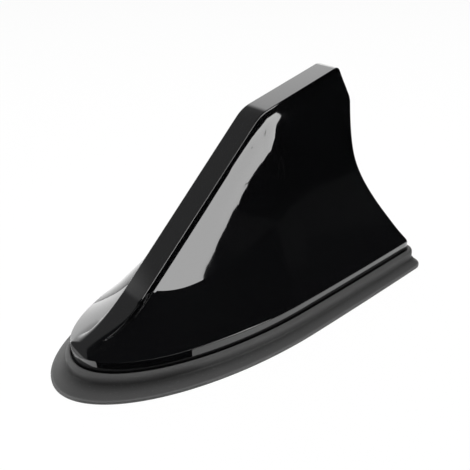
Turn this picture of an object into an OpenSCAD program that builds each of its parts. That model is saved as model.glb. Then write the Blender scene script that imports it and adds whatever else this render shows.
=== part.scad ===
// Shark fin aerial for a car roof. Nose towards -X, tail towards +X, underside at z = 0.
// A glossy moulded fin stands in a rubber foot; the amplifier and the aerial are inside it.

/* [Foot] */
// Length of the rubber foot, nose to tail
foot_l = 165; // [155:1:185]
// Greatest width of the rubber foot
foot_w = 78; // [74:1:90]
// Corner radius of the foot at the tail
foot_corner_r = 5.5; // [4:0.5:8]
// Height of the upright outer lip of the foot
lip_h = 1.3; // [0.8:0.1:2]
// Height of the foot where its flange meets the bead
flange_h = 3.9; // [3.2:0.1:4.4]
// Height of the rounded bead that hugs the fin
bead_h = 8; // [7.2:0.1:9]
// Thickness of the bead
bead_w = 2.3; // [1.6:0.1:2.8]

/* [Fin] */
// Height of the highest corner of the fin above the roof
fin_h = 90.5; // [84:0.5:98]
// Height of the fin's lower edge above the roof
edge_z = 5.5; // [5.2:0.1:6.2]
// Distance from the foot's nose to the fin's nose
nose_inset = 9; // [8:0.5:10]
// Distance from the foot's side to the fin's side
side_inset = 6; // [5:0.5:7.5]
// Distance from the foot's tail to the fin's tail
tail_inset = 3.3; // [3.1:0.1:5]
// Corner radius of the fin's lower edge at the tail
fin_corner_r = 4; // [3:0.5:6]
// Width of the flat spine
spine_w = 10.5; // [9.5:0.5:14]
// How far the flank swells out below the edge of the spine
shoulder = 2.4; // [1.5:0.1:3.5]
// Distance below the spine over which the flank swells
shoulder_drop = 6; // [4:0.5:9]
// Height of the upright skirt of the fin
skirt_h = 6.8; // [6:0.1:8]
// Height over which the flank flares out to the skirt
flare_h = 42; // [40:1:56]
// How hollow the flare is
flare_power = 1.8; // [1.5:0.05:2.1]
// Wall thickness of the fin
wall = 2.2; // [1.8:0.1:2.4]

/* [Side profile] */
// Distance from the fin's nose to the bend of the spine
bend_run = 83.1; // [80:0.5:90]
// Height of the bend of the spine above the roof
bend_h = 80.5; // [76:0.5:83]
// Radius of the bend of the spine
bend_r = 14; // [8:1:24]
// Distance from the fin's nose to the end of the slope at its foot
slope_run = 25.5; // [22:0.5:30]
// Height of the slope at its foot
slope_h = 25; // [22:0.5:28]
// Distance from the bend to the highest corner
top_run = 41.9; // [38:0.5:46]
// Length of the cut at the back of the highest corner
back_cut_run = 6.9; // [5:0.5:9]
// Drop of the cut at the back of the highest corner
back_cut_drop = 14; // [10:0.5:18]

/* [Base] */
// Thickness of the foam pad that sticks the aerial down
pad_t = 1.2; // [0.8:0.1:1.4]
// Floor thickness of the base plate
floor_t = 2.4; // [2:0.1:2.6]
// Thickness of the base plate's flange, which the foot grips
flange_t = 1.5; // [1.2:0.1:1.8]
// Height of the rim that locates the fin
rim_h = 6; // [4:0.5:7]
// Thickness of the rim that locates the fin
rim_t = 1.6; // [1.2:0.1:2]
// Clearance between parts that seat on each other
seat_gap = 0.2; // [0.1:0.05:0.3]
// Distance between the front and the rear cover screws
screw_span_x = 84; // [78:1:90]
// Distance of the rear cover screws from the middle of the foot
screw_rear_x = 62; // [58:0.5:65]
// Half the distance between the two rear cover screws
screw_rear_y = 21; // [18:0.5:23]
// Half the distance between the two front cover screws
screw_front_y = 17; // [14:0.5:19]
// Thread diameter of the cover screws
screw_d = 2.9; // [2.5:0.1:3.2]
// Length of the cover screws under the head
screw_l = 9; // [7:0.5:11]
// Head diameter of the cover screws
screw_head_d = 5.4; // [4.8:0.1:6]
// Outer diameter of the screw bosses
boss_d = 7; // [6.2:0.1:8]
// Thickness of the ribs on the base plate and the mast
rib_t = 1.4; // [1:0.1:2]

/* [Electronics] */
// Length of the circuit board
board_l = 66; // [60:1:70]
// Width of the circuit board
board_w = 34; // [30:1:36]
// Thickness of the circuit board
board_t = 1.6; // [1.2:0.1:2]
// Height of the circuit board above the floor of the base plate
standoff_h = 4; // [3:0.5:5]
// Hole diameter of the cable outlet
cable_d = 3.6; // [3:0.1:4.5]
// Distance of the cable outlet behind the middle of the foot
outlet_x = 63; // [61:0.5:66]
// Wire diameter of the aerial coil
wire_d = 1; // [0.8:0.1:1.2]
// Outer diameter of the aerial coil
coil_d = 8; // [7:0.1:8.6]
// Number of turns of the aerial coil
coil_turns = 9; // [6:1:10]
// Rise of one turn of the aerial coil
coil_pitch = 2.2; // [1.8:0.1:2.4]
// Thickness of the sheet metal of the roof plate
sheet_t = 0.4; // [0.3:0.1:0.6]
// Thickness of the upright web of the mast
mast_t = 3; // [2:0.1:3.2]
// Height of the skirts of the roof plate
roof_skirt = 13; // [10:0.5:16]
// Length of the shield can
can_l = 22; // [18:1:23]
// Width of the shield can
can_w = 20; // [16:1:24]
// Height of the shield can
can_h = 4.6; // [4:0.1:6]

/* [Hidden] */
$fn = 48;

// Numbers of points along the side of the fin, round a tail corner and up its flank.
side_steps = 22;
corner_steps = 5;
flank_steps = 14;
inner_flank_steps = 7;

// The foot for which the sizes along and across the aerial are given; they grow and shrink with it.
design_l = 165;
design_w = 78;
along = foot_l / design_l;
across = foot_w / design_w;

// Places that follow from the sizes above.
foot_x0 = -foot_l / 2;
foot_x1 = foot_l / 2;
fin_x0 = foot_x0 + nose_inset;
fin_x1 = foot_x1 - tail_inset;
fin_hw = foot_w / 2 - side_inset;
widest_x = 8 * along;
flare_z = edge_z + skirt_h;
slope_x = fin_x0 + slope_run * along;
bend_x = fin_x0 + bend_run * along;
top_x = bend_x + top_run * along;
tip = [top_x + back_cut_run * along, fin_h - back_cut_drop];
floor_z = pad_t + floor_t;
board_z = floor_z + standoff_h;
board_top = board_z + board_t;
rear_x = screw_rear_x * along;
rear_y = screw_rear_y * across;
front_x = (screw_rear_x - screw_span_x) * along;
front_y = screw_front_y * across;
cover_screw_places = [[rear_x, rear_y], [rear_x, -rear_y], [front_x, front_y], [front_x, -front_y]];
cable_x = outlet_x * along;
seat_t = 1.6;
screw_head_h = 1.6;
boss_z = floor_z + seat_t;
plate_inset = wall + 2.4;
board_mid_x = (rear_x + front_x) / 2;
board_x0 = board_mid_x - board_l * along / 2;
board_x1 = board_mid_x + board_l * along / 2;
board_hw = board_w * across / 2;
board_screw_d = 2;
board_margin = 3.5;
board_screw_l = 4.5;
board_screw_places = [for (sx = [-1, 1], sy = [-1, 1])
    [sx > 0 ? board_x1 - board_margin : board_x0 + board_margin, sy * (board_hw - board_margin)]];
foot_t = 2;
mast_x0 = bend_x + 5 * along;
mast_x1 = top_x - 2 * along;
mast_l = mast_x1 - mast_x0;
mast_foot_w = 16 * across;
mast_foot_x1 = mast_x0 + 0.8 * mast_l;
mast_foot_z = board_top + foot_t;
mast_screw_l = 7;
mast_screw_places = [[mast_x0 + 4, mast_foot_w / 2 - 2.8], [mast_foot_x1 - 4, 2.8 - mast_foot_w / 2]];
coil_x = mast_x0 + 0.458 * mast_l;
coil_z0 = mast_foot_z + 22;
coil_h = coil_turns * coil_pitch;
coil_r = (coil_d - wire_d) / 2;
former_flange_t = 1.2;
window_z0 = coil_z0 - wire_d - former_flange_t;
window_z1 = coil_z0 + coil_h + wire_d + former_flange_t;
can_gap = 0.6;
can_x1 = mast_x0 - can_gap;
can_x0 = can_x1 - can_l * along;
can_hw = can_w * across / 2;

// Points on a curve with two handles.
function bezier(a, b, c, d, t) =
    pow(1 - t, 3) * a + 3 * pow(1 - t, 2) * t * b + 3 * (1 - t) * t * t * c + t * t * t * d;

// Half width of a bullet shaped outline at x: half an ellipse, then sides that close in slightly.
tail_taper = 0.9;
function half_width(x, x0, x1, hw) =
    x < widest_x
        ? hw * sqrt(max(0, 1 - pow((widest_x - x) / (widest_x - x0), 2)))
        : hw - tail_taper * pow((x - widest_x) / (x1 - widest_x), 2);

// One side of the outline, from the nose to the end of the tail corner.
function half_outline(x0, x1, hw, r) =
    let (start = x1 - r, y = half_width(start, x0, x1, hw))
    concat(
        [for (i = [0 : side_steps])
            let (x = x0 + (start - x0) * pow(i / side_steps, 1.7))
            [x, half_width(x, x0, x1, hw)]],
        [for (i = [1 : corner_steps])
            let (a = 90 * i / corner_steps)
            [start + r * sin(a), y - r * (1 - cos(a))]]);

function outline(half) = concat(half, [for (i = [len(half) - 1 : -1 : 1]) [half[i].x, -half[i].y]]);

foot_half = half_outline(foot_x0, foot_x1, foot_w / 2, foot_corner_r);
fin_half = half_outline(fin_x0, fin_x1, fin_hw, fin_corner_r);
function fin_half_in(inset) =
    half_outline(fin_x0 + inset, fin_x1 - inset, fin_hw - inset, max(1, fin_corner_r - inset));

// The side profile of the fin, from the nose over the spine and down the back to the tail.
slope_angle = atan2(bend_h - slope_h, bend_x - slope_x);
top_angle = atan2(fin_h - bend_h, top_x - bend_x);
bend_tangent = bend_r * tan((slope_angle - top_angle) / 2);
nose_steps = 14;
nose_rise = [0.3, 4.6];
nose_sweep = 16.6;
slope_steps = 11;
bend_steps = 6;
top_steps = 6;
back_steps = 17;
corner_r = 2;
function bend_arc(t, inset) =
    let (c = [bend_x + bend_tangent * cos(top_angle) + bend_r * sin(top_angle),
            bend_h + bend_tangent * sin(top_angle) - bend_r * cos(top_angle)],
        a = 90 + slope_angle + (top_angle - slope_angle) * t)
    c + (bend_r - inset) * [cos(a), sin(a)];
function slope_foot(inset) = [slope_x, slope_h] + inset * [sin(slope_angle), -cos(slope_angle)];
function nose_line(inset) =
    let (a = [fin_x0 + inset, edge_z + 0.72 * skirt_h - inset], d = slope_foot(inset),
        c = d - nose_sweep * [cos(slope_angle), sin(slope_angle)])
    [for (i = [0 : nose_steps]) bezier(a, a + nose_rise, c, d, pow(i / nose_steps, 1.3))];
function profile(inset) =
    let (foot_s = slope_foot(inset),
        arc_a = bend_arc(0, inset),
        top_b = [top_x - 0.6 * inset, fin_h - 1.1 * inset],
        tip_b = tip + inset * [-1, -0.3],
        tail = [fin_x1 - inset, edge_z])
    concat(
        nose_line(inset),
        [for (i = [1 : slope_steps]) foot_s + (arc_a - foot_s) * i / slope_steps],
        [for (i = [1 : bend_steps]) bend_arc(i / bend_steps, inset)],
        [for (i = [1 : top_steps - 1])
            bend_arc(1, inset) + (top_b - bend_arc(1, inset)) * i / top_steps],
        corner(bend_arc(1, inset), top_b, tip_b),
        [top_b + (tip_b - top_b) / 2],
        corner(top_b, tip_b, tip_b - [0, 21]),
        [for (i = [2 : back_steps])
            bezier(tip_b, tip_b - [0, 21], tail + [-10.6 * along, 29], tail, i / back_steps)]);

// Four points round a corner of the side profile.
function corner(before, at, after) =
    let (a = corner_r * (before - at) / norm(before - at), b = corner_r * (after - at) / norm(after - at))
    [for (i = [0 : 3]) let (t = i / 3) at + a * pow(1 - t, 2) + b * t * t];

// Height of the spine above x, as if the slope and the top ran on for ever and met in an eased bend.
function spine_z(x, ease = 0) =
    let (a = slope_h + (x - slope_x) * tan(slope_angle), b = bend_h + (x - bend_x) * tan(top_angle))
    (a + b - norm([a - b, ease])) / 2;
// The same, and over the nose the height of its curve.
nose_heights = nose_line(0);
function crest_z(x, ease = 0) = x < slope_x ? lookup(x, nose_heights) : spine_z(x, ease);

// How hollow the flare is at x: nearly straight at the nose, hollow from the middle back.
nose_power = 0.9;
nose_round = 0.2;
straight_x = -40 * along;
hollow_x = 20 * along;
round_x = -50 * along;
function flare_curve(x) =
    let (u = max(0, min(1, (x - straight_x) / (hollow_x - straight_x))),
        w = max(0, min(1, (round_x - x) / (round_x - fin_x0))))
    nose_power + (flare_power - nose_power) * u * u * (3 - 2 * u) - nose_round * w;

// Half width of the fin at a place in its side view: the spine, the shoulder and the flare.
function fin_y(x, z, inset) =
    let (edge_y = max(0, half_width(x, fin_x0 + inset, fin_x1 - inset, fin_hw - inset)),
        start = fin_x1 - fin_corner_r,
        past = max(0, min(1, (x - start) / (fin_corner_r - inset))),
        base_y = edge_y - max(0.5, fin_corner_r - inset) * (1 - sqrt(max(0, 1 - past * past))),
        out = max(0, min(1, (slope_x - x) / (slope_x - fin_x0))),
        spine_y = min((spine_w / 2 - inset) * sqrt(1 - out * out), 0.9 * base_y),
        depth = max(0, crest_z(x) - inset - z),
        deep = max(0, crest_z(x, 1 + min(8, 0.6 * depth)) - inset - z),
        core_y = min(base_y, spine_y + shoulder * (1 - exp(-deep / shoulder_drop))),
        rise = max(1, crest_z(x) - inset - flare_z),
        reach = rise / pow(1 + pow(rise / flare_h, 3), 1 / 3),
        t = max(0, min(1, (z - flare_z) / reach)))
    core_y + (base_y - core_y) * pow(1 - t, flare_curve(x));

// Rows of points up one flank, for each place along the profile, and one past the eased edge.
edge_ease = 0.6;
function base_x(s, inset) = fin_x0 + inset + (fin_x1 - fin_x0 - 2 * inset) * s;
function flank_rows(inset, rows, ease) =
    let (p = profile(inset), n = len(p) - 1)
    [for (i = [0 : n])
        let (bx = base_x(0.35 * pow(i / n, 2) + 0.65 * (p[i].x - p[0].x) / (p[n].x - p[0].x), inset),
            rise = p[i].y - edge_z,
            low = min(skirt_h, 0.9 * rise),
            e = min(ease, 0.3 * rise),
            top = 1 - e / max(1, norm([p[i].x - bx, rise - low])))
        concat(
            [for (k = [0 : rows])
                let (u = (k - 1) / (rows - 1),
                    up = k == 0 ? 0 : low + (rise - low) * top * (0.45 * u + 0.275 * (1 - cos(180 * u))),
                    x = bx + (p[i].x - bx) * min(1, up / max(0.01, rise)))
                [x, fin_y(x, edge_z + up, inset), edge_z + up]],
            ease > 0 ? [[p[i].x, max(0, fin_y(p[i].x, p[i].y, inset) - e), p[i].y]] : [])];

// The shell of the fin: an outer and an inner skin that meet in a rim along the lower edge.
module skin_shell() {
    outer = flank_rows(0, flank_steps, edge_ease);
    inner = flank_rows(wall, inner_flank_steps, 0);
    n = len(outer);
    a = len(outer[0]);
    b = len(inner[0]);
    function mirror_y(p) = [p.x, p.y == 0 ? 0 : -p.y, p.z];
    points = concat(
        [for (s = outer) each s],
        [for (s = outer) each [for (p = s) mirror_y(p)]],
        [for (s = inner) each s],
        [for (s = inner) each [for (p = s) mirror_y(p)]]);
    on = n * a;
    in0 = 2 * on;
    im = in0 + n * b;
    faces = concat(
        skin(points, 0, n, a, true), skin(points, on, n, a, false),
        skin(points, in0, n, b, false), skin(points, im, n, b, true),
        strip(a - 1, a, on + a - 1, a, n), strip(im + b - 1, b, in0 + b - 1, b, n),
        strip(in0, b, 0, a, n), strip(on, a, im, b, n),
        quad((n - 1) * a, in0 + (n - 1) * b, im + (n - 1) * b, on + (n - 1) * a));
    polyhedron(points, whole_faces(points, faces), convexity = 6);
}

// Two triangles between four points.
function quad(a, b, c, d) = [[a, b, c], [a, c, d]];
// Faces over n columns of points, split the short way, which show on one side or on the other.
function skin(points, start, n, rows, shown) =
    [for (i = [0 : n - 2], k = [0 : rows - 2])
        let (a = start + i * rows + k, b = a + rows,
            short = norm(points[a] - points[b + 1]) < norm(points[b] - points[a + 1]))
        for (f = short ? quad(a, b, b + 1, a + 1) : quad(b, b + 1, a + 1, a))
            shown ? f : [f[2], f[1], f[0]]];
// Faces between two edges of n points each.
function strip(a, a_step, b, b_step, n) =
    [for (i = [0 : n - 2])
        each quad(a + i * a_step, a + (i + 1) * a_step, b + (i + 1) * b_step, b + i * b_step)];
// The faces that are left once those with no area are gone.
function whole_faces(points, faces) =
    [for (f = faces)
        if (points[f[0]] != points[f[1]] && points[f[1]] != points[f[2]] && points[f[2]] != points[f[0]]) f];

// Runs its children at each place of a list.
module at_each(places, z) {
    for (p = places) translate([p.x, p.y, z]) children();
}

// Height at which the flank is y wide, found by halving.
function flank_z(x, y, inset, low, high, n = 16) =
    let (mid = (low + high) / 2)
    n == 0 ? mid : fin_y(x, mid, inset) > y
        ? flank_z(x, y, inset, mid, high, n - 1)
        : flank_z(x, y, inset, low, mid, n - 1);

// Everything beyond the middle of the wall at a place on the flank, to trim what meets it there.
module beyond_flank(x, y) {
    z = flank_z(x, y, wall / 2, flare_z, spine_z(x) - wall);
    side = fin_y(x + 1, z, wall / 2) - fin_y(x - 1, z, wall / 2);
    up = fin_y(x, z + 1, wall / 2) - fin_y(x, z - 1, wall / 2);
    translate([x, y, z])
        rotate([0, acos(-up / norm([side, 2, up])), atan2(2, -side)])
            translate([-fin_h, -fin_h, 0]) cube(2 * fin_h);
}

// A boss that hangs from the flank and takes a cover screw from below.
module screw_boss(x, y) {
    difference() {
        translate([x, y, boss_z]) cylinder(d = boss_d, h = spine_z(x) - wall - boss_z);
        beyond_flank(x, y);
        translate([x, y, boss_z - 1]) cylinder(d = screw_d + 0.1, h = screw_l);
    }
}

module cover_bosses() {
    for (side = [0, 1]) mirror([0, side, 0]) {
        screw_boss(front_x, front_y);
        screw_boss(rear_x, rear_y);
    }
}

module fin_cover() {
    color("black") {
        skin_shell();
        cover_bosses();
    }
}

// Section of the foot: distances run out from the fin's side (a) or in from the lip (b).
slot_a = 1.6;
slot_low = floor_z - flange_t - 0.1;
slot_high = floor_z + 0.1;
function foot_section(d) = [
    [-plate_inset + seat_gap, 0], [d - 0.35, 0], [d, 0.35], [d, lip_h - 0.25], [d - 0.3, lip_h],
    [d - 0.55, lip_h - 0.15], [d - 0.8, lip_h + 0.15],
    [bead_w + 0.5 + 0.62 * (d - bead_w - 1.3), lip_h + 0.34 * (flange_h - lip_h)],
    [bead_w + 0.5 + 0.26 * (d - bead_w - 1.3), lip_h + 0.7 * (flange_h - lip_h)],
    [bead_w + 0.42, flange_h], [bead_w + 0.3, flange_h + 0.6],
    [bead_w + 0.38, bead_h - 2], [bead_w + 0.22, bead_h - 1], [bead_w - 0.25, bead_h - 0.35],
    [bead_w / 2 + 0.3, bead_h], [0.75, bead_h - 0.2], [0.35, bead_h - 0.8],
    [0.3, edge_z], [-wall - 0.2, edge_z], [-wall - 0.2, slot_high],
    [slot_a, slot_high], [slot_a, slot_low], [-plate_inset + seat_gap, slot_low]];

module base_gasket() {
    inner = outline(fin_half);
    outer = outline(foot_half);
    n = len(inner);
    rings = [for (i = [0 : n - 1])
        let (d = norm(outer[i] - inner[i]), out = (outer[i] - inner[i]) / d)
        [for (p = foot_section(d)) [inner[i].x + p.x * out.x, inner[i].y + p.x * out.y, p.y]]];
    m = len(rings[0]);
    faces = [for (i = [0 : n - 1], k = [0 : m - 1])
        each quad(i * m + k, (i + 1) % n * m + k, (i + 1) % n * m + (k + 1) % m, i * m + (k + 1) % m)];
    color([0.16, 0.16, 0.16]) polyhedron([for (r = rings) each r], faces, convexity = 8);
}

// A flat slab of the fin's outline, set in from its side.
module slab(inset, low, high) {
    translate([0, 0, low]) linear_extrude(high - low) polygon(outline(fin_half_in(inset)));
}

module base_plate() {
    color([0.12, 0.12, 0.12]) difference() {
        union() {
            slab(plate_inset, pad_t, floor_z);
            slab(0.2 - slot_a, floor_z - flange_t, floor_z);
            difference() {
                slab(wall + seat_gap, floor_z, floor_z + rim_h);
                slab(wall + seat_gap + rim_t, floor_z, floor_z + rim_h + 1);
            }
            at_each(cover_screw_places, floor_z) cylinder(d = boss_d, h = seat_t);
            at_each(cover_screw_places, floor_z) difference() {
                cylinder(d = boss_d + 2.8, h = seat_t + 2);
                translate([0, 0, -1]) cylinder(d = boss_d + 2 * seat_gap, h = seat_t + 4);
            }
            at_each(board_screw_places, floor_z) cylinder(d = 5, h = standoff_h);
            at_each(mast_screw_places, floor_z) cylinder(d = 5, h = standoff_h);
            translate([cable_x, 0, floor_z]) cylinder(d = cable_d + 9, h = 1);
            for (s = [0.19, 0.265])
                let (x = base_x(s, 0), y = half_rib(x))
                    translate([x - rib_t / 2, -y, floor_z]) cube([rib_t, 2 * y, rim_h / 2]);
        }
        at_each(cover_screw_places, 0) cylinder(d = screw_d + 0.5, h = board_z);
        at_each(cover_screw_places, 0) cylinder(d = screw_head_d + 0.5, h = pad_t + screw_head_h + 0.2);
        at_each(board_screw_places, floor_z + 0.6) cylinder(d = board_screw_d + 0.05, h = board_z);
        at_each(mast_screw_places, floor_z - 1) cylinder(d = board_screw_d + 0.05, h = board_z);
        translate([cable_x, 0, 0]) cylinder(d = cable_d + 3.2, h = board_z);
        translate([cable_x, 0, 0]) cylinder(d = cable_d + 7.4, h = pad_t + 0.6);
    }
}
function half_rib(x) = half_width(x, fin_x0, fin_x1, fin_hw) - wall - seat_gap - rim_t / 2 - 1;

module adhesive_pad() {
    color([0.22, 0.22, 0.23]) difference() {
        slab(plate_inset + 0.6, 0, pad_t);
        translate([cable_x, 0, -1]) cylinder(d = cable_d + 8, h = pad_t + 2);
    }
}

// The grommet is turned: a neck between two collars, with the cable's hole along its axis.
module cable_grommet() {
    neck_r = cable_d / 2 + 1.5;
    top = floor_z + 2.6;
    color([0.1, 0.1, 0.1]) translate([cable_x, 0, 0]) difference() {
        rotate_extrude() polygon([[0, 0.1], [cable_d / 2 + 3.4, 0.1], [cable_d / 2 + 3.6, 0.4],
            [cable_d / 2 + 3.6, pad_t + 0.5], [neck_r, pad_t + 0.5], [neck_r, floor_z + 1.1],
            [neck_r + 1.6, floor_z + 1.1], [neck_r + 1.2, top - 0.5], [neck_r + 0.4, top], [0, top]]);
        translate([0, 0, -1]) cylinder(d = cable_d, h = top + 2);
    }
}

// A screw that points up from its head at z = 0, or down when flipped by the caller.
module screw(d, l, head_d, head_h) {
    difference() {
        union() {
            cylinder(d = head_d, h = head_h);
            translate([0, 0, head_h]) cylinder(d = d, h = l - d);
            translate([0, 0, head_h + l - d]) cylinder(d1 = d, d2 = d / 3, h = d);
        }
        for (a = [0, 90])
            rotate(a) translate([-head_d * 0.3, -head_d * 0.06, -1])
                cube([head_d * 0.6, head_d * 0.12, 1 + head_h * 0.5]);
    }
}

module cover_screws() {
    color([0.65, 0.66, 0.68]) at_each(cover_screw_places, pad_t + 0.1)
        screw(screw_d, screw_l, screw_head_d, screw_head_h);
}

module circuit_board() {
    color([0.05, 0.3, 0.16]) difference() {
        translate([board_x0, -board_hw, board_z]) cube([board_x1 - board_x0, 2 * board_hw, board_t]);
        at_each(board_screw_places, board_z - 1) cylinder(d = board_screw_d + 0.4, h = board_t + 2);
        at_each(mast_screw_places, board_z - 1) cylinder(d = board_screw_d + 0.4, h = board_t + 2);
    }
}

module board_screws() {
    color([0.7, 0.7, 0.72]) at_each(board_screw_places, board_top + 1.3)
        mirror([0, 0, 1]) screw(board_screw_d, board_screw_l, 3.8, 1.3);
}

// A folded can with no floor and rows of round vents in its lid.
module shield_can() {
    l = can_x1 - can_x0;
    w = 2 * can_hw;
    color([0.75, 0.75, 0.73]) translate([can_x0, -can_hw, board_top]) difference() {
        cube([l, w, can_h]);
        translate([sheet_t, sheet_t, -1]) cube([l - 2 * sheet_t, w - 2 * sheet_t, can_h + 1 - sheet_t]);
        for (i = [1 : 4], j = [1 : 3])
            translate([l * i / 5, w * j / 4, can_h - 1]) cylinder(d = 1.8, h = 2);
    }
}

// Flat chip with a row of bent legs along two sides.
module amplifier_chip() {
    legs = 4;
    color([0.08, 0.08, 0.08]) translate([(can_x0 + can_x1) / 2, 0, board_top]) {
        translate([-2.5, -2, 0.15]) cube([5, 4, 1.45]);
        for (i = [0 : legs - 1], side = [-1, 1])
            translate([(i - 1.5) * 1.27 - 0.2, side > 0 ? 1.9 : -3, 0]) cube([0.4, 1.1, 0.6]);
    }
}

module board_capacitors() {
    color([0.72, 0.62, 0.42]) {
        for (p = [[can_x0 + 4, can_hw / 2], [can_x0 + 4, -can_hw / 2], [can_x1 - 4, can_hw / 2]])
            translate([p.x - 1, p.y - 0.6, board_top]) cube([2, 1.25, 1.2]);
        translate([board_x1 - 0.15 * board_l * along, 4.5 - board_hw, board_top]) {
            cylinder(d = 5, h = 0.8);
            translate([0, 0, 0.7]) cylinder(d = 4.6, h = 5);
        }
    }
}

// Drum cores: a flange, a waist that holds the winding and a second flange.
module board_inductors() {
    color([0.25, 0.22, 0.2])
        for (s = [0.23, 0.52])
            translate([mast_x0 + s * mast_l, board_hw - 5 * across, board_top]) rotate_extrude()
                polygon([[0, 0], [3, 0], [3, 0.8], [2.2, 1.1], [2.2, 3.1], [3, 3.4], [3, 4.2], [0, 4.2]]);
}

// A saddle of sheet brass that holds the screen of the cable at the tail of the board.
module ground_lug() {
    lug_l = 6;
    r = cable_d / 2 + 0.1;
    color([0.78, 0.62, 0.3]) translate([board_x1 - lug_l - 1, 0, board_top]) {
        translate([0, 0, r]) rotate([0, 90, 0]) difference() {
            cylinder(r = r + sheet_t, h = lug_l);
            translate([0, 0, -1]) cylinder(r = r, h = lug_l + 2);
            translate([0, -10, -1]) cube([20, 20, lug_l + 2]);
        }
        for (side = [-1, 1]) {
            translate([0, side * (r + sheet_t / 2) - sheet_t / 2, 0]) cube([lug_l, sheet_t, r]);
            translate([0, side > 0 ? r : -r - 2.2, 0]) cube([lug_l, 2.2, sheet_t]);
        }
    }
}

// The mast's web follows the spine from below and has a window for the coil.
roof_gap = 0.8;
function roof_z(x) = spine_z(x) - (wall + roof_gap) / cos(top_angle);
module antenna_mast() {
    web_top0 = roof_z(mast_x0) - sheet_t / cos(top_angle);
    web_top1 = roof_z(mast_x1) - sheet_t / cos(top_angle);
    window_w = coil_d + 3;
    strut = mast_x1 - coil_x - window_w / 2;
    color([0.9, 0.9, 0.88]) difference() {
        union() {
            translate([mast_x0, -mast_foot_w / 2, board_top])
                cube([mast_foot_x1 - mast_x0, mast_foot_w, foot_t]);
            translate([0, mast_t / 2, 0]) rotate([90, 0, 0]) linear_extrude(mast_t)
                polygon([[mast_x0, board_top], [mast_foot_x1, board_top], [mast_foot_x1, mast_foot_z + 6],
                    [mast_x1, mast_foot_z + 20], [mast_x1, web_top1], [mast_x0, web_top0]]);
            for (x = [mast_x0 + 0.27 * mast_l, mast_x0 + 0.54 * mast_l], side = [-1, 1])
                translate([x - rib_t / 2, side > 0 ? 0 : -mast_foot_w / 2 + 1, mast_foot_z - 0.5])
                    cube([rib_t, mast_foot_w / 2 - 1, 9]);
        }
        at_each(mast_screw_places, board_top - 1) cylinder(d = board_screw_d + 0.4, h = foot_t + 2);
        translate([coil_x - window_w / 2, -mast_t, window_z0])
            cube([window_w, 2 * mast_t, window_z1 - window_z0]);
        translate([coil_x, coil_r, board_top - 1]) cylinder(d = wire_d + 1, h = foot_t + 2);
        for (z = [window_z0 - 9, window_z1 + 9])
            translate([coil_x, mast_t, z]) rotate([90, 0, 0]) cylinder(d = 8, h = 2 * mast_t);
        translate([coil_x + window_w / 2 + strut / 2, mast_t, (window_z0 + window_z1) / 2]) rotate([90, 0, 0])
            cylinder(d = 0.52 * strut, h = 2 * mast_t);
    }
}

module mast_screws() {
    color([0.7, 0.7, 0.72]) at_each(mast_screw_places, mast_foot_z + 1.3)
        mirror([0, 0, 1]) screw(board_screw_d, mast_screw_l, 3.8, 1.3);
}

// A turned bobbin between the sill and the head of the window.
module coil_former() {
    core_r = coil_r - wire_d / 2 - 0.15;
    color([0.92, 0.9, 0.82]) translate([coil_x, 0, window_z0]) rotate_extrude()
        polygon([[0, 0], [core_r + 1, 0], [core_r + 1, former_flange_t], [core_r, former_flange_t],
            [core_r, window_z1 - window_z0 - former_flange_t],
            [core_r + 1, window_z1 - window_z0 - former_flange_t],
            [core_r + 1, window_z1 - window_z0], [0, window_z1 - window_z0]]);
}

// Round wire wound as a helix, with a straight lead down to the board.
coil_rings = 16;
wire_sides = 6;
module antenna_coil() {
    rings = coil_rings * coil_turns;
    lean = atan2(coil_pitch, 2 * PI * coil_r);
    points = [for (i = [0 : rings], k = [0 : wire_sides - 1])
        let (a = 90 + 360 * i / coil_rings, b = 360 * k / wire_sides,
            r = coil_r + wire_d / 2 * cos(b), up = wire_d / 2 * sin(b))
        [coil_x + r * cos(a) + up * sin(lean) * sin(a),
            r * sin(a) - up * sin(lean) * cos(a),
            coil_z0 + coil_pitch * i / coil_rings + up * cos(lean)]];
    walls = [for (i = [0 : rings - 1], k = [0 : wire_sides - 1])
        let (n = (k + 1) % wire_sides)
        each quad(i * wire_sides + k, i * wire_sides + n, (i + 1) * wire_sides + n,
            (i + 1) * wire_sides + k)];
    ends = [[for (k = [wire_sides - 1 : -1 : 0]) k],
        [for (k = [0 : wire_sides - 1]) rings * wire_sides + k]];
    color([0.75, 0.42, 0.22]) {
        polyhedron(points, concat(walls, ends), convexity = 10);
        translate([coil_x, coil_r, board_top]) cylinder(d = wire_d, h = coil_z0 - board_top);
    }
}

// A brass ring round the top of the bobbin.
module coil_terminal() {
    r = coil_r + wire_d / 2 + 0.6;
    z = window_z1 - former_flange_t;
    color([0.8, 0.65, 0.32]) difference() {
        translate([coil_x, 0, z]) cylinder(r = r, h = former_flange_t - 0.2);
        translate([coil_x, 0, z - 1]) cylinder(r = r - 0.5, h = former_flange_t + 2);
    }
}

// Sheet metal folded over the top of the mast: a web under the spine and two skirts.
module roof_plate() {
    l = (mast_x1 - mast_x0) / cos(top_angle);
    w = mast_t + 2 * sheet_t + 0.2;
    color([0.75, 0.73, 0.7]) translate([mast_x0, 0, roof_z(mast_x0)]) rotate([0, -top_angle, 0])
        difference() {
            translate([0, -w / 2, -roof_skirt]) cube([l, w, roof_skirt]);
            translate([-1, -w / 2 + sheet_t, -roof_skirt - 1])
                cube([l + 2, w - 2 * sheet_t, roof_skirt + 1 - sheet_t]);
            for (i = [1 : 3])
                translate([l * i / 4, w, -roof_skirt]) rotate([90, 0, 0]) cylinder(d = 5, h = 2 * w);
        }
}

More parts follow.
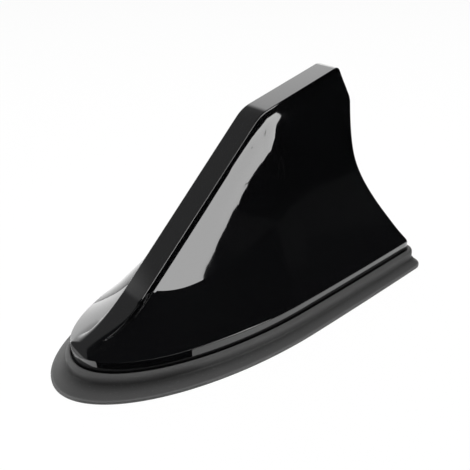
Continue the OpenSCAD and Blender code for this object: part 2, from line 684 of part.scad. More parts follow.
// A leaf of spring brass from the coil's ring up to the skirt of the roof plate.
module contact_spring() {
    w = mast_t / 2 + sheet_t + 0.15;
    z0 = window_z1 - 1;
    z1 = roof_z(coil_x) - roof_skirt + 3;
    r = coil_r + wire_d / 2 + 0.65;
    color([0.8, 0.65, 0.32]) translate([coil_x + 2, 0, 0]) rotate([90, 0, -90]) linear_extrude(4)
        polygon([[r, z0 - 0.2], [r + sheet_t, z0 - 0.2], [r + sheet_t, z0 + 4], [w + sheet_t, z1 - 3],
            [w + sheet_t, z1], [w, z1], [w, z1 - 3.2], [r, z0 + 3.8]]);
}

fin_cover();
base_gasket();
base_plate();
adhesive_pad();
cable_grommet();
cover_screws();
circuit_board();
board_screws();
shield_can();
amplifier_chip();
board_capacitors();
board_inductors();
ground_lug();
antenna_mast();
mast_screws();
coil_former();
antenna_coil();
coil_terminal();
roof_plate();
contact_spring();
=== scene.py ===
from math import atan2, cos, exp, pi, radians, sin, sqrt, tan

import bpy
import numpy as np
from mathutils import Matrix, Vector


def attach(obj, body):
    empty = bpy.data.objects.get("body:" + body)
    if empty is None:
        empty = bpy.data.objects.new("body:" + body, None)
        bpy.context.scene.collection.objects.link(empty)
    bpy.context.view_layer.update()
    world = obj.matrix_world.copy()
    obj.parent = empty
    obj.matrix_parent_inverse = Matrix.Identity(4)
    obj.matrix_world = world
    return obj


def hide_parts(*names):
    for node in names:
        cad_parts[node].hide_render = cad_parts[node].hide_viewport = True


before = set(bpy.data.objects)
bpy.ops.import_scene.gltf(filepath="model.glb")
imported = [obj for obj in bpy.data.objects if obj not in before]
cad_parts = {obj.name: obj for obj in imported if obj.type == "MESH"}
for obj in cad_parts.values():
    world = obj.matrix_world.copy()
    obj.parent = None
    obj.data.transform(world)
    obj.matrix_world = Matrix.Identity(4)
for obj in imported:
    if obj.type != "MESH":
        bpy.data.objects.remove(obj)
scene = bpy.context.scene
scene.view_settings.view_transform = "Standard"
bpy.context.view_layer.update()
mm = 0.001

# The camera stands in front of the nose on the left of the aerial and looks down at it.
# It stands where the foot, the ridge and the tip fall on the photograph's own lines.
camera_turn = radians(-40.49)
camera_height = radians(29.89)
camera_roll = radians(-0.8)
camera_place = Vector((-135.18, -159.27, 151.23)) * mm
camera_back = Vector((
    sin(camera_turn) * cos(camera_height),
    -cos(camera_turn) * cos(camera_height),
    sin(camera_height),
))
level = Vector((cos(camera_turn), sin(camera_turn), 0))
upright = camera_back.cross(level)
camera_right = level * cos(camera_roll) + upright * sin(camera_roll)
camera_up = camera_back.cross(camera_right)
camera = bpy.data.objects.new("camera", bpy.data.cameras.new("camera"))
scene.collection.objects.link(camera)
camera.matrix_world = Matrix((
    (camera_right.x, camera_up.x, camera_back.x, camera_place.x),
    (camera_right.y, camera_up.y, camera_back.y, camera_place.y),
    (camera_right.z, camera_up.z, camera_back.z, camera_place.z),
    (0, 0, 0, 1),
))
camera.data.sensor_width = 36
camera.data.lens = 45.92
scene.camera = camera

# The fin is one moulding of black ABS, lacquered and polished to a deep gloss.
# It is a thin hollow shell: a flat spine between two flanks that swell out below
# its edges and flare down to an upright skirt, with the skirt's top drawn as a fine step.
# Lengths are millimetres in the CAD's frame: x from nose to tail, z up from the roof.
fin_nose, fin_tail, fin_half = -73.5, 79.2, 33.0
fin_edge, fin_wall = 5.5, 2.2
tail_corner, side_pinch = 4.0, 0.9
nose_start, nose_lean, nose_rise, nose_sweep = 0.72, 0.3, 4.6, 16.6
tail_lean, tail_rise, chin_drop = 10.6, 29.0, 21.0
most_spine, most_skirt = 0.9, 0.9
skirt_top, skirt_round = 12.3, 0.55
spine_half = 5.25
shoulder, shoulder_drop = 2.8, 13.0
slope_shoulder, slope_drop, shoulder_x, shoulder_end = 4.6, 7.0, 13.0, 22.0
spine_soft, soft_room, most_soft = 0.4, 1.5, 0.35
low_soft, low_soft_from, low_soft_run = 6, 8, 16
spine_band, band_start, band_blend = 4.0, -70.0, 0.3
bend_blend, blend_growth, most_blend = 1, 0.6, 8
flare_reach, flare_power, nose_power, nose_round = 42.0, 1.8, 0.9, 0.2
most_blur, blur_growth = 0.2, 1.5
straight_x, hollow_x, round_x = -40.0, 20.0, -50.0
widest = 8.0
slope_foot = (-48.0, 25.0)
bend = (9.6, 80.5)
bend_radius = 14.0
top_rear = (51.5, 90.5)
tip = (58.4, 76.5)
slope = atan2(bend[1] - slope_foot[1], bend[0] - slope_foot[0])
rise = atan2(top_rear[1] - bend[1], top_rear[0] - bend[0])


def half_width(x, nose, tail, half):
    """Half the width of a bullet shaped outline: half an ellipse, then sides that close in slightly."""
    if x < widest:
        return half * sqrt(max(0, 1 - ((widest - x) / (widest - nose)) ** 2))
    return half - side_pinch * ((x - widest) / (tail - widest)) ** 2


def curve(a, b, c, d, steps):
    """Points of a curve from a to d with the handles b and c, without the first."""
    for i in range(1, steps + 1):
        t = i / steps
        yield a * (1 - t) ** 3 + b * 3 * (1 - t) ** 2 * t + c * 3 * (1 - t) * t * t + d * t**3


def nose_line(inset, steps):
    """The rounded nose in side view, from the skirt up to the foot of the slope."""
    foot = Vector(slope_foot) + inset * Vector((sin(slope), -cos(slope)))
    start = Vector((fin_nose + inset, fin_edge + nose_start * (skirt_top - fin_edge) - inset))
    handle = foot - nose_sweep * Vector((cos(slope), sin(slope)))
    return [start, *curve(start, start + Vector((nose_lean, nose_rise)), handle, foot, steps)]


nose_places, nose_heights = zip(*nose_line(0, 60))


def crest(x, blend):
    """Height of the spine above x, with the bend between slope and top eased over the blend."""
    if x < slope_foot[0]:
        return float(np.interp(x, nose_places, nose_heights))
    up_slope = slope_foot[1] + (x - slope_foot[0]) * tan(slope)
    along_top = bend[1] + (x - bend[0]) * tan(rise)
    return (up_slope + along_top - sqrt((up_slope - along_top) ** 2 + blend**2)) / 2


def flank(x, z, inset):
    """Half the thickness of the fin at a place in its side view."""
    edge = half_width(x, fin_nose + inset, fin_tail - inset, fin_half - inset)
    past = min(1, max(0, (x - fin_tail + tail_corner) / (tail_corner - inset)))
    base = edge - (tail_corner - inset) * (1 - sqrt(1 - past * past))
    out = min(1, max(0, (slope_foot[0] - x) / (slope_foot[0] - fin_nose)))
    spine = min((spine_half - inset) * sqrt(1 - out * out), most_spine * base)
    depth = max(0, crest(x, 0) - inset - z)
    deep = max(0, crest(x, bend_blend + min(most_blend, blend_growth * depth)) - inset - z)
    past_bend = min(1, max(0, (x - shoulder_x) / (shoulder_end - shoulder_x)))
    past_bend *= past_bend * (3 - 2 * past_bend)
    swell = slope_shoulder + (shoulder - slope_shoulder) * past_bend
    drop = slope_drop + (shoulder_drop - slope_drop) * past_bend
    band = spine_band * min(1, max(0, (x - band_start) / (slope_foot[0] - band_start)))
    below = (deep - band + sqrt((deep - band) ** 2 + band_blend * band)) / 2
    core = min(base, spine + swell * (1 - exp(-below / drop)))
    height = max(1, crest(x, 0) - inset - band - skirt_top)
    reach = height / (1 + (height / flare_reach) ** 3) ** (1 / 3)
    gap = height / reach - 1
    blur = min(most_blur, blur_growth * gap)
    ends = [(s + sqrt(s * s + blur * blur)) / 2 for s in (1 - max(0, z - skirt_top) / reach, -gap, 1)]
    flared = max(0, ends[0] - ends[1]) / (ends[2] - ends[1])
    back = min(1, max(0, (x - straight_x) / (hollow_x - straight_x)))
    front = min(1, max(0, (round_x - x) / (round_x - fin_nose)))
    power = nose_power + (flare_power - nose_power) * back * back * (3 - 2 * back)
    return core + (base - core) * flared ** (power - nose_round * front)


def eased(before, corner, after, radius, steps, guard=0.3):
    """Points round a corner, with one more on each side to keep the faces beside it flat."""
    a, b = before - corner, after - corner
    reach_a, reach_b = min(radius, 0.48 * a.length), min(radius, 0.48 * b.length)
    a, b = a.normalized(), b.normalized()
    yield corner + a * reach_a * (1 + guard)
    for i in range(steps + 1):
        t = i / steps
        yield corner + a * reach_a * (1 - t) ** 2 + b * reach_b * t * t
    yield corner + b * reach_b * (1 + guard)


def side_profile(inset):
    """The fin's side view from the nose over the spine and down the back, as x and z."""
    points = nose_line(inset, 26)
    foot = points[-1]
    run = bend_radius * tan((slope - rise) / 2)
    centre = Vector((
        bend[0] + run * cos(rise) + bend_radius * sin(rise),
        bend[1] + run * sin(rise) - bend_radius * cos(rise),
    ))
    arc = []
    for i in range(13):
        a = pi / 2 + slope + (rise - slope) * i / 12
        arc.append(centre + (bend_radius - inset) * Vector((cos(a), sin(a))))
    rear = Vector(top_rear) + inset * Vector((-0.6, -1.1))
    chin = Vector(tip) + inset * Vector((-1, -0.3))
    tail = Vector((fin_tail - inset, fin_edge))
    points += [foot.lerp(arc[0], i / 26) for i in range(1, 26)]
    points += arc
    points += [arc[-1].lerp(rear, i / 14) for i in range(1, 14)]
    points += eased(arc[-1], rear, chin, 2.2, 5, 0.15)
    points += [rear.lerp(chin, i / 5) for i in range(2, 4)]
    under_chin = chin - Vector((0, chin_drop))
    points += eased(rear, chin, under_chin, 2.0, 5, 0.15)
    down = list(curve(chin, under_chin, tail + Vector((-tail_lean, tail_rise)), tail, 44))
    points += down[3:]
    return points


def wall_rows(place, start, inset):
    """Points up one flank of the fin to its spine and across to the middle, at one place along it."""
    span = place.y - fin_edge
    low = min(skirt_top - fin_edge, most_skirt * span)
    heights = [0.0, 0.5 * low, low]
    soft = spine_soft + low_soft * max(0, 1 - (place.y - low_soft_from) / low_soft_run) ** 2
    eased_top = min(soft_room * soft, most_soft * (span - low))
    for k in range(1, flank_rows):
        v = k / (flank_rows - 1)
        v = even_rows * v + crowded_rows * (1 - cos(pi * v)) / 2
        heights.append(low + (span - low - eased_top) * v)
    heights.append(span)
    path = []
    for h in heights:
        x = start + (place.x - start) * min(1, h / max(0.01, span))
        path.append(Vector((x, -flank(x, fin_edge + h, inset), fin_edge + h)))
    edge = path[-1]
    middle = Vector((edge.x, 0, edge.z))
    rows = path[:2]
    rows += eased(path[1], path[2], path[3], skirt_round, 4)
    rows += path[4:-1]
    rows += list(eased(path[-2], edge, middle, soft, 7, 0.2))[1:]
    rows += [edge.lerp(middle, 0.6), middle]
    return rows


flank_rows, even_rows, crowded_rows = 34, 0.45, 0.55
even_fan, late_fan = 0.65, 0.35
outside, inside = side_profile(0), side_profile(fin_wall)
columns = []
for i, (place, inner_place) in enumerate(zip(outside, inside)):
    along = (place.x - fin_nose) / (fin_tail - fin_nose)
    fan = even_fan * along + late_fan * (i / (len(outside) - 1)) ** 2
    start = fin_nose + (fin_tail - fin_nose) * fan
    inner_start = fin_nose + fin_wall + (fin_tail - fin_nose - 2 * fin_wall) * fan
    outer = wall_rows(place, start, 0)
    inner = wall_rows(inner_place, inner_start, fin_wall)
    columns.append(inner[::-1] + outer)


def laid_grid(name, columns):
    """A grid with a column of points for each station, laid along the piece's own lines."""
    rows = len(columns[0])
    bpy.ops.object.select_all(action="DESELECT")
    bpy.ops.mesh.primitive_grid_add(x_subdivisions=len(columns) - 1, y_subdivisions=rows - 1, size=1)
    piece = bpy.context.object
    piece.name = piece.data.name = name
    across = len(columns)
    for k in range(rows):
        for i in range(across):
            piece.data.vertices[k * across + i].co = columns[i][k] * mm
    return piece


def applied(piece, kind, **values):
    """Adds a modifier to the active piece and applies it."""
    bpy.context.view_layer.objects.active = piece
    bpy.ops.object.modifier_add(type=kind)
    modifier = piece.modifiers[-1]
    for name, value in values.items():
        setattr(modifier, name, value)
    bpy.ops.object.modifier_apply(modifier=modifier.name)


def closed(piece, gap, rim=False):
    """Merges what meets, closes an open rim and turns the faces outwards."""
    bpy.context.view_layer.objects.active = piece
    bpy.ops.object.mode_set(mode="EDIT")
    bpy.ops.mesh.select_all(action="SELECT")
    bpy.ops.mesh.remove_doubles(threshold=gap)
    bpy.ops.mesh.dissolve_degenerate(threshold=gap / 2)
    if rim:
        bpy.ops.mesh.select_all(action="DESELECT")
        bpy.ops.mesh.select_non_manifold(
            extend=False, use_multi_face=False, use_non_contiguous=False, use_verts=False
        )
        bpy.ops.mesh.fill(use_beauty=True)
    bpy.ops.mesh.select_all(action="SELECT")
    bpy.ops.mesh.normals_make_consistent(inside=False)
    bpy.ops.object.mode_set(mode="OBJECT")
    bpy.ops.object.shade_smooth()


weld = 0.00002
cover = laid_grid("fin_shell", columns)
cover.select_set(True)
applied(cover, "MIRROR", use_axis=(False, True, False), merge_threshold=weld)
closed(cover, weld, rim=True)
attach(cover, "root")
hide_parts("fin_cover")


def group_of(name, inputs, outputs):
    """An empty node group with its named sockets, and its two ends."""
    tree = bpy.data.node_groups.new(name, "ShaderNodeTree")
    for kind, label, value in inputs:
        socket = tree.interface.new_socket(name=label, in_out="INPUT", socket_type=kind)
        socket.default_value = value
    for kind, label in outputs:
        tree.interface.new_socket(name=label, in_out="OUTPUT", socket_type=kind)
    return tree, tree.nodes.new("NodeGroupInput"), tree.nodes.new("NodeGroupOutput")


def speckle_group():
    """Fine dust and handling marks: a mask of specks and a slow cloud, on Object coordinates."""
    tree, start, end = group_of(
        "surface_marks",
        [("NodeSocketFloat", "Speck size", 900.0), ("NodeSocketFloat", "Cloud size", 25.0)],
        [("NodeSocketFloat", "Specks"), ("NodeSocketFloat", "Cloud")],
    )
    place = tree.nodes.new("ShaderNodeTexCoord")
    specks = tree.nodes.new("ShaderNodeTexNoise")
    specks.inputs["Detail"].default_value = 2
    cloud = tree.nodes.new("ShaderNodeTexNoise")
    cloud.inputs["Detail"].default_value = 4
    pick = tree.nodes.new("ShaderNodeMapRange")
    pick.inputs["From Min"].default_value = 0.66
    pick.inputs["From Max"].default_value = 0.78
    for noise, label in ((specks, "Speck size"), (cloud, "Cloud size")):
        tree.links.new(place.outputs["Object"], noise.inputs["Vector"])
        tree.links.new(start.outputs[label], noise.inputs["Scale"])
    tree.links.new(specks.outputs["Fac"], pick.inputs["Value"])
    tree.links.new(pick.outputs["Result"], end.inputs["Specks"])
    tree.links.new(cloud.outputs["Fac"], end.inputs["Cloud"])
    return tree


surface_marks = speckle_group()


def new_material(name, colour, roughness, **sockets):
    """A material with one Principled BSDF, and its node tree's parts."""
    material = bpy.data.materials.new(name)
    material.use_nodes = True
    material.diffuse_color = (*colour, 1)
    nodes, links = material.node_tree.nodes, material.node_tree.links
    shader = nodes["Principled BSDF"]
    shader.inputs["Base Color"].default_value = (*colour, 1)
    shader.inputs["Roughness"].default_value = roughness
    for label, value in sockets.items():
        shader.inputs[label.replace("_", " ")].default_value = value
    return material, nodes, links, shader


def spread(nodes, links, source, low, high, socket):
    """Feeds a socket with a 0 to 1 value spread between low and high."""
    node = nodes.new("ShaderNodeMapRange")
    node.inputs["To Min"].default_value = low
    node.inputs["To Max"].default_value = high
    links.new(source, node.inputs["Value"])
    links.new(node.outputs["Result"], socket)


def marks_of(nodes, specks, cloud):
    """The surface marks in the sizes of one material."""
    marks = nodes.new("ShaderNodeGroup")
    marks.node_tree = surface_marks
    marks.inputs["Speck size"].default_value = specks
    marks.inputs["Cloud size"].default_value = cloud
    return marks


def bumped(nodes, links, height, strength, depth, shader):
    """Raises a material's surface by a 0 to 1 height."""
    bump = nodes.new("ShaderNodeBump")
    bump.inputs["Strength"].default_value = strength
    bump.inputs["Distance"].default_value = depth
    links.new(height, bump.inputs["Height"])
    links.new(bump.outputs["Normal"], shader.inputs["Normal"])


# Deep black under a clear polished coat, with the faint wave and dust of a handled part.
lacquer, nodes, links, shader = new_material(
    "black_lacquer", (0.0035, 0.0036, 0.004), 0.06, Coat_Weight=1.0, Coat_Roughness=0.012
)
marks = marks_of(nodes, 1400, 18)
spread(nodes, links, marks.outputs["Cloud"], 0.03, 0.09, shader.inputs["Roughness"])
tint = nodes.new("ShaderNodeMix")
tint.data_type = "RGBA"
tint.inputs["A"].default_value = (0.0035, 0.0036, 0.004, 1)
tint.inputs["B"].default_value = (0.012, 0.012, 0.012, 1)
links.new(marks.outputs["Specks"], tint.inputs["Factor"])
links.new(tint.outputs["Result"], shader.inputs["Base Color"])
bumped(nodes, links, marks.outputs["Cloud"], 0.02, 0.0002, shader)
cover.data.materials.append(lacquer)

# The foot is one ring of soft black EPDM rubber, moulded to the roof's line.
# Its bead hugs the fin's skirt, a hollow slope runs out to the lip, and a slot
# inside grips the edge of the base plate.
foot_nose, foot_tail, foot_half = -82.5, 82.5, 39.0
foot_corner = 5.5
lip, flange_top, bead_top, bead_wide = 1.3, 3.9, 8.0, 2.3
plate_inset, slot_low, slot_high, slot_out = 4.6, 2.0, 3.7, 1.6
nose_crowding = 1.7


def outline(nose, tail, half, corner, steps, corner_steps):
    """One side of a bullet shaped outline, from the nose to the end of the tail corner."""
    start = tail - corner
    for i in range(steps + 1):
        x = nose + (start - nose) * (i / steps) ** nose_crowding
        yield Vector((x, -half_width(x, nose, tail, half), 0))
    side = half_width(start, nose, tail, half)
    for i in range(1, corner_steps + 1):
        a = pi / 2 * i / corner_steps
        yield Vector((start + corner * sin(a), -(side - corner * (1 - cos(a))), 0))
    yield Vector((tail, -(side - corner) * 0.93, 0))
    yield Vector((tail, -(side - corner) * 0.5, 0))
    yield Vector((tail, 0, 0))


def foot_profile(d):
    """The foot's section as distance out from the fin and height, with how round each corner is."""
    slope_run = d - bead_wide - 1.3
    return [
        (-plate_inset + 0.2, 0, 0.2), (d, 0, 0.3), (d, lip, 0.35), (d - 0.55, lip - 0.12, 0.2),
        (d - 0.85, lip + 0.15, 0.25),
        (bead_wide + 0.5 + 0.62 * slope_run, lip + 0.34 * (flange_top - lip), 1.0),
        (bead_wide + 0.5 + 0.26 * slope_run, lip + 0.7 * (flange_top - lip), 0.8),
        (bead_wide + 0.42, flange_top, 0.3), (bead_wide + 0.28, flange_top + 0.7, 0.4),
        (bead_wide + 0.36, bead_top - 1.9, 0.8), (bead_wide + 0.1, bead_top - 0.55, 0.6),
        (bead_wide / 2 + 0.5, bead_top, 0.6), (0.6, bead_top - 0.05, 0.4), (0.3, bead_top - 1, 0.2),
        (0.3, fin_edge, 0.1), (-fin_wall - 0.2, fin_edge, 0.2), (-fin_wall - 0.2, slot_high, 0.2),
        (slot_out, slot_high, 0.2), (slot_out, slot_low, 0.2), (-plate_inset + 0.2, slot_low, 0.2),
    ]


sides = []
for inner, outer in zip(
    outline(fin_nose, fin_tail, fin_half, tail_corner, 90, 10),
    outline(foot_nose, foot_tail, foot_half, foot_corner, 90, 10),
):
    d = (outer - inner).length
    out = (outer - inner) / d
    section = foot_profile(d)
    ring = []
    for k, (a, z, radius) in enumerate(section):
        here = inner + a * out + Vector((0, 0, z))
        before = inner + section[k - 1][0] * out + Vector((0, 0, section[k - 1][1]))
        nxt = section[(k + 1) % len(section)]
        after = inner + nxt[0] * out + Vector((0, 0, nxt[1]))
        ring += list(eased(before, here, after, radius, 3))[1:-1]
    sides.append(ring + ring[:1])
foot = laid_grid("rubber_foot", sides)
foot.select_set(True)
applied(foot, "MIRROR", use_axis=(False, True, False), merge_threshold=weld)
closed(foot, weld / 2)
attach(foot, "root")
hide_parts("base_gasket")

# Matt rubber: near black, with a fine moulded grain and pale specks of dust.
rubber, nodes, links, shader = new_material(
    "matt_rubber", (0.022, 0.022, 0.022), 0.55, Specular_IOR_Level=0.5
)
marks = marks_of(nodes, 2600, 60)
spread(nodes, links, marks.outputs["Cloud"], 0.42, 0.66, shader.inputs["Roughness"])
place = nodes.new("ShaderNodeTexCoord")
height = nodes.new("ShaderNodeSeparateXYZ")
links.new(place.outputs["Object"], height.inputs["Vector"])
level = nodes.new("ShaderNodeMapRange")
level.inputs["From Max"].default_value = 10 * mm
links.new(height.outputs["Z"], level.inputs["Value"])
# Painted light and shade by height: a painted highlight along the lip and the bead's top, and painted
# shade in the hollow under the bead.
painted_light_ramp = nodes.new("ShaderNodeValToRGB")
for at, grey in (
    (0.12, 0.10), (0.15, 0.055), (0.24, 0.046), (0.36, 0.022), (0.46, 0.014), (0.60, 0.040), (0.78, 0.065)
):
    stop = painted_light_ramp.color_ramp.elements.new(at)
    stop.color = (grey, grey, grey, 1)
painted_light_ramp.color_ramp.elements[0].color = (0.03, 0.03, 0.03, 1)
painted_light_ramp.color_ramp.elements[-1].color = (0.065, 0.065, 0.065, 1)
links.new(level.outputs["Result"], painted_light_ramp.inputs["Fac"])
tint = nodes.new("ShaderNodeMix")
tint.data_type = "RGBA"
tint.inputs["B"].default_value = (0.13, 0.13, 0.13, 1)
links.new(painted_light_ramp.outputs["Color"], tint.inputs["A"])
links.new(marks.outputs["Specks"], tint.inputs["Factor"])
links.new(tint.outputs["Result"], shader.inputs["Base Color"])
grain = nodes.new("ShaderNodeTexNoise")
grain.inputs["Scale"].default_value = 3500
grain.inputs["Detail"].default_value = 3
links.new(place.outputs["Object"], grain.inputs["Vector"])
bumped(nodes, links, grain.outputs["Fac"], 0.6, 0.0001, shader)
foot.data.materials.append(rubber)


def dress(material, node):
    """Gives a CAD node a finish in the place of its plain one."""
    bpy.data.objects[node].material_slots[0].material = material


dress(lacquer, "fin_cover")
dress(rubber, "base_gasket")


# The base plate carries everything inside and closes the fin from below.
# It is one moulding of black ABS with a dull, finely grained skin, as it leaves its mould.
def finish(name, low, high, roughness, grain, depth, metal=0.0, stretch=(1, 1, 1), cells=False):
    """A material mottled between two colours, with a grain in its roughness and its relief."""
    material, nodes, links, shader = new_material(name, low, roughness[0], Metallic=metal)
    place = nodes.new("ShaderNodeTexCoord")
    laid = nodes.new("ShaderNodeMapping")
    laid.inputs["Scale"].default_value = stretch
    links.new(place.outputs["Object"], laid.inputs["Vector"])
    relief = nodes.new("ShaderNodeTexVoronoi" if cells else "ShaderNodeTexNoise")
    relief.inputs["Scale"].default_value = grain
    links.new(laid.outputs["Vector"], relief.inputs["Vector"])
    height = relief.outputs["Distance" if cells else "Fac"]
    mottle = nodes.new("ShaderNodeTexNoise")
    mottle.inputs["Scale"].default_value = grain / 10
    mottle.inputs["Detail"].default_value = 4
    links.new(laid.outputs["Vector"], mottle.inputs["Vector"])
    tint = nodes.new("ShaderNodeMix")
    tint.data_type = "RGBA"
    tint.inputs["A"].default_value = (*low, 1)
    tint.inputs["B"].default_value = (*high, 1)
    links.new(mottle.outputs["Fac"], tint.inputs["Factor"])
    links.new(tint.outputs["Result"], shader.inputs["Base Color"])
    spread(nodes, links, height, *roughness, shader.inputs["Roughness"])
    bumped(nodes, links, height, 0.3, depth * mm, shader)
    return material


dull = finish("dull_abs", (0.024, 0.024, 0.026), (0.038, 0.038, 0.040), (0.45, 0.65), 2400, 0.03)
dress(dull, "base_plate")

# The pad under the plate is a die cut sheet of closed cell foam with glue on both faces.
# It holds the aerial to the roof and keeps water out; its cut edge shows the small cells.
foam = finish(
    "closed_cell_foam", (0.050, 0.050, 0.054), (0.075, 0.075, 0.080), (0.80, 0.95), 1600, 0.15, cells=True
)
dress(foam, "adhesive_pad")

# The grommet is a small moulded bush of the same black rubber as the foot.
# It is pressed into the plate and the pad where the cord leaves the aerial.
dress(rubber, "cable_grommet")

# Four pan head screws of zinc plated steel come up through the plate into the cover's bosses.
# They are cold headed and rolled, so the plating is bright with a slightly yellow cast in places.
zinc = finish(
    "zinc_plate", (0.56, 0.57, 0.60), (0.66, 0.65, 0.61), (0.22, 0.42), 3000, 0.01,
    metal=1.0, stretch=(1, 1, 0.3),
)
dress(zinc, "cover_screws")

# The amplifier board is cut from glass laminate under green solder resist.
# The resist is thin over the tracks, which show as slightly lighter, raised patches.
resist = finish(
    "solder_resist", (0.012, 0.120, 0.050), (0.024, 0.185, 0.085), (0.24, 0.40), 700, 0.02,
    stretch=(1, 2.5, 1), cells=True,
)
dress(resist, "circuit_board")

# Four short screws of the same zinc plated steel hold the board down on the plate's pillars.
# They are driven from above, before the mast is fitted.
dress(zinc, "board_screws")

# The shield is a can folded from tinned steel sheet and soldered to the board's earth.
# Rolling leaves fine straight lines along the sheet.
tin = finish(
    "tinned_sheet", (0.62, 0.62, 0.60), (0.72, 0.72, 0.70), (0.18, 0.36), 1500, 0.006,
    metal=1.0, stretch=(0.15, 1, 1),
)
dress(tin, "shield_can")

# The amplifier itself is one chip in a body of black moulded epoxy, soldered flat to the board.
# Its surface is matt with a fine sparkle of filler.
epoxy = finish("moulded_epoxy", (0.016, 0.016, 0.016), (0.026, 0.026, 0.026), (0.50, 0.70), 6000, 0.01)
dress(epoxy, "amplifier_chip")

# The capacitors are small blocks of fired ceramic, soldered at both ends.
# Their tan bodies are matt and vary a little in colour.
ceramic = finish("fired_ceramic", (0.40, 0.29, 0.155), (0.50, 0.37, 0.205), (0.35, 0.50), 4000, 0.008)
dress(ceramic, "board_capacitors")

# The two inductors are pressed and ground from ferrite powder round their windings.
# The ground skin is dark, dull and faintly pitted.
ferrite = finish("ground_ferrite", (0.058, 0.050, 0.046), (0.085, 0.075, 0.068), (0.55, 0.75), 3500, 0.02)
dress(ferrite, "board_inductors")

# The earth lug is stamped from brass sheet and clamped under a screw of the board.
# The sheet has a satin face with rolling lines and a darker bloom in places.
brass = finish(
    "rolled_brass", (0.66, 0.48, 0.19), (0.76, 0.57, 0.25), (0.20, 0.40), 2500, 0.006,
    metal=1.0, stretch=(1, 0.2, 1),
)
dress(brass, "ground_lug")

# The mast stands up inside the fin and carries the winding and the plate at its top.
# It is one moulding in natural, slightly milky plastic, with a web pierced to save weight.
milky = finish("natural_abs", (0.70, 0.70, 0.67), (0.78, 0.78, 0.75), (0.42, 0.60), 1800, 0.03)
dress(milky, "antenna_mast")

# Two zinc plated screws hold the mast's foot to the plate.
# They match the other screws inside.
dress(zinc, "mast_screws")

# The former is a moulded tube of natural nylon that the wire is wound on.
# It slides onto the mast before the top plate goes on.
nylon = finish("natural_nylon", (0.75, 0.72, 0.61), (0.84, 0.81, 0.71), (0.35, 0.52), 2200, 0.02)
dress(nylon, "coil_former")

# The antenna winding is enamelled copper wire, wound as an open helix on the former.
# The enamel gives a warm, fairly glossy brown with small changes along the wire.
enamel = finish(
    "enamelled_copper", (0.53, 0.22, 0.09), (0.66, 0.32, 0.15), (0.18, 0.32), 2600, 0.005, metal=1.0
)
dress(enamel, "antenna_coil")

# The terminal is a small bent tab of the same brass sheet as the lug.
# The end of the winding is soldered to it.
dress(brass, "coil_terminal")

# The top plate loads the antenna; it is cut from tinned steel sheet like the can.
# It is snapped to the top of the mast under the fin's ridge.
dress(tin, "roof_plate")

# The contact is a bent strip of springy brass that touches the winding's lower end.
# It is soldered to the board and stays pressed when the mast is screwed down.
dress(brass, "contact_spring")

# The studio: a white floor and backdrop, two soft lights, and a room that only reflections see.
# The room is pale behind the aerial and dark in front, so that the gloss shows black on this side.
bpy.ops.object.select_all(action="DESELECT")
bpy.ops.mesh.primitive_plane_add(size=6)
floor = bpy.context.object
floor.name = "floor"
floor_look = bpy.data.materials.new("white_floor")
floor_look.use_nodes = True
nodes, links = floor_look.node_tree.nodes, floor_look.node_tree.links
nodes.clear()
end = nodes.new("ShaderNodeOutputMaterial")
paper = nodes.new("ShaderNodeBsdfDiffuse")
paper.inputs["Color"].default_value = (0.9, 0.9, 0.9, 1)
glow = nodes.new("ShaderNodeEmission")
join = nodes.new("ShaderNodeMixShader")
path = nodes.new("ShaderNodeLightPath")
keep = nodes.new("ShaderNodeMath")
keep.operation = "MULTIPLY"
keep.inputs[1].default_value = 0.93
links.new(path.outputs["Is Camera Ray"], keep.inputs[0])
links.new(keep.outputs["Value"], join.inputs["Fac"])
links.new(paper.outputs["BSDF"], join.inputs[1])
links.new(glow.outputs["Emission"], join.inputs[2])
links.new(join.outputs["Shader"], end.inputs["Surface"])
floor.data.materials.append(floor_look)


def eased_step(source, low, high, before, after):
    """A value that eases from before to after while the source goes from low to high."""
    step = nodes.new("ShaderNodeMapRange")
    step.interpolation_type = "SMOOTHSTEP"
    for label, value in (("From Min", low), ("From Max", high), ("To Min", before), ("To Max", after)):
        step.inputs[label].default_value = value
    links.new(source, step.inputs["Value"])
    return step.outputs["Result"]


def facing(aim):
    """How far a direction of the world points along the aim."""
    dot = nodes.new("ShaderNodeVectorMath")
    dot.operation = "DOT_PRODUCT"
    dot.inputs[1].default_value = aim
    links.new(way.outputs["Generated"], dot.inputs[0])
    return dot.outputs["Value"]


def combined(operation, first, second):
    """Two values of the world put together."""
    sum_or_product = nodes.new("ShaderNodeMath")
    sum_or_product.operation = operation
    links.new(first, sum_or_product.inputs[0])
    links.new(second, sum_or_product.inputs[1])
    return sum_or_product.outputs["Value"]


world = bpy.data.worlds.new("studio")
scene.world = world
world.use_nodes = True
nodes, links = world.node_tree.nodes, world.node_tree.links
nodes.clear()
end = nodes.new("ShaderNodeOutputWorld")
backdrop = nodes.new("ShaderNodeBackground")
backdrop.inputs["Color"].default_value = (1, 1, 1, 1)
room = nodes.new("ShaderNodeBackground")
join = nodes.new("ShaderNodeMixShader")
path = nodes.new("ShaderNodeLightPath")
way = nodes.new("ShaderNodeTexCoord")
split = nodes.new("ShaderNodeSeparateXYZ")
links.new(way.outputs["Generated"], split.inputs["Vector"])
room_aim = (-0.45, 0.89, 0.0)
strength = eased_step(facing(room_aim), -0.05, 0.35, 0.02, 1.0)
# Higher up the room darkens in two steps, which keeps the slope and the ridge dark enough.
for low, high, level in ((0.38, 0.46, 0.22), (0.70, 0.80, 0.05)):
    strength = combined("MULTIPLY", strength, eased_step(split.outputs["Z"], low, high, 1.0, level))
# Two soft glows behind the fin: one lights the ridge, the other the far side of the nose.
for aim, low, high, level in (
    ((0.618, 0.663, 0.423), 0.89, 0.99, 1.5),
    ((0.102, 0.973, 0.208), 0.85, 0.97, 1.7),
):
    strength = combined("ADD", strength, eased_step(facing(aim), low, high, 0.0, level))
links.new(strength, room.inputs["Strength"])
links.new(path.outputs["Is Camera Ray"], join.inputs["Fac"])
links.new(room.outputs["Background"], join.inputs[1])
links.new(backdrop.outputs["Background"], join.inputs[2])
links.new(join.outputs["Shader"], end.inputs["Surface"])


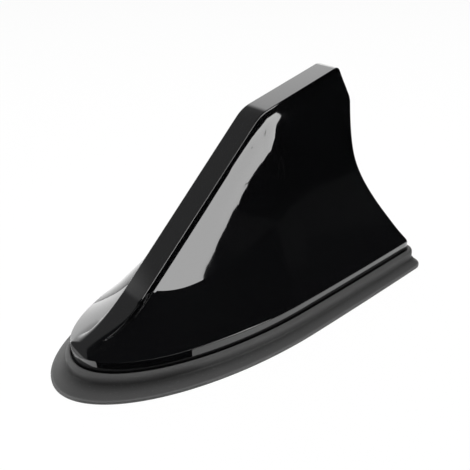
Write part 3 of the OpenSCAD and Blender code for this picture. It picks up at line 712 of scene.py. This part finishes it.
def flag(name, columns, strength):
    """A card of the studio that only reflections see, dark or glowing."""
    card = laid_grid(name, [[Vector(corner) for corner in column] for column in columns])
    look = bpy.data.materials.new(name)
    look.use_nodes = True
    look.node_tree.nodes.clear()
    glow = look.node_tree.nodes.new("ShaderNodeEmission")
    glow.inputs["Strength"].default_value = strength
    end = look.node_tree.nodes.new("ShaderNodeOutputMaterial")
    look.node_tree.links.new(glow.outputs["Emission"], end.inputs["Surface"])
    card.data.materials.append(look)
    card.visible_camera = False
    card.visible_shadow = False
    card.visible_diffuse = False


# Dark cloths on the floor, which the lower flank, the skirt's nose and the tail reflect.
table_end = 2900
for name, left, right, near, far, lift in (
    ("dark_table", -60, table_end, -75, -table_end, 1.0),
    ("nose_flag", -140, -42, -10, -75, 0.7),
    ("tail_flag", 125, table_end, -10, -75, 0.7),
):
    flag(name, [[(x, near, lift), (x, far, lift)] for x in (left, right)], 0.0)

# The strip on the near flank is the reflection of a curved softbox, with a second card for its
# upper end. A dark card beside the fin cuts it off below and passes partly through the shell.
# Their outlines are fitted so that the reflection falls where the photograph has it.
softbox_glow = 4.6
softbox_middle, softbox_distance = Vector((-15, -8, 40)), 300
softbox = []
for turn, low, high in (
    (-66, -10, -2), (-68, -9, -1), (-71, -7, 3), (-75, -5, 15), (-85, -3, 31), (-96, -1, 39),
    (-107, -1, 46), (-116, 3, 52), (-143, 18.5, 54), (-170, 24.5, 52), (-190, 32, 46), (-195, 35, 37),
):
    column = []
    for k in range(4):
        a, b = radians(turn), radians(low + (high - low) * k / 3)
        toward = Vector((cos(a) * cos(b), sin(a) * cos(b), sin(b)))
        column.append(softbox_middle + softbox_distance * toward)
    softbox.append(column)
flag("softbox", softbox, softbox_glow)
end_card = -40
flag("softbox_end", [
    [(x, end_card, low), (x, end_card, high)]
    for x, low, high in (
        (-8, 68.5, 69.5), (2, 60, 73), (8, 55, 75), (12, 54.3, 76), (15, 56.3, 76.5), (18, 59, 77.2),
        (22, 62, 78), (28, 65, 80), (38, 66.5, 80.5), (44, 67.2, 79), (50, 67.5, 76),
    )
], softbox_glow)
low_height, low_tilt, low_reach = 35.86, 0.22, -110
flag("low_flag", [
    [(x, y, low_height + low_tilt * x), (x, low_reach, low_height + low_tilt * x)]
    for x, y in ((-140, -3), (-50, -3), (-46, -6), (40, -9))
], 0.0)


def lamp(name, place, aim, size, power):
    """A soft square light that the gloss doesn't mirror."""
    light = bpy.data.lights.new(name, "AREA")
    light.size = size
    light.energy = power
    holder = bpy.data.objects.new(name, light)
    scene.collection.objects.link(holder)
    holder.location = Vector(place)
    holder.rotation_euler = (Vector(aim) - Vector(place)).to_track_quat("-Z", "Y").to_euler()
    holder.visible_glossy = False


lamp("top_light", (0, -0.1, 1.2), (0, 0, 0), 0.7, 15)
lamp("front_light", (-0.6, -1.0, 0.7), (0, 0, 0.03), 0.8, 2.5)
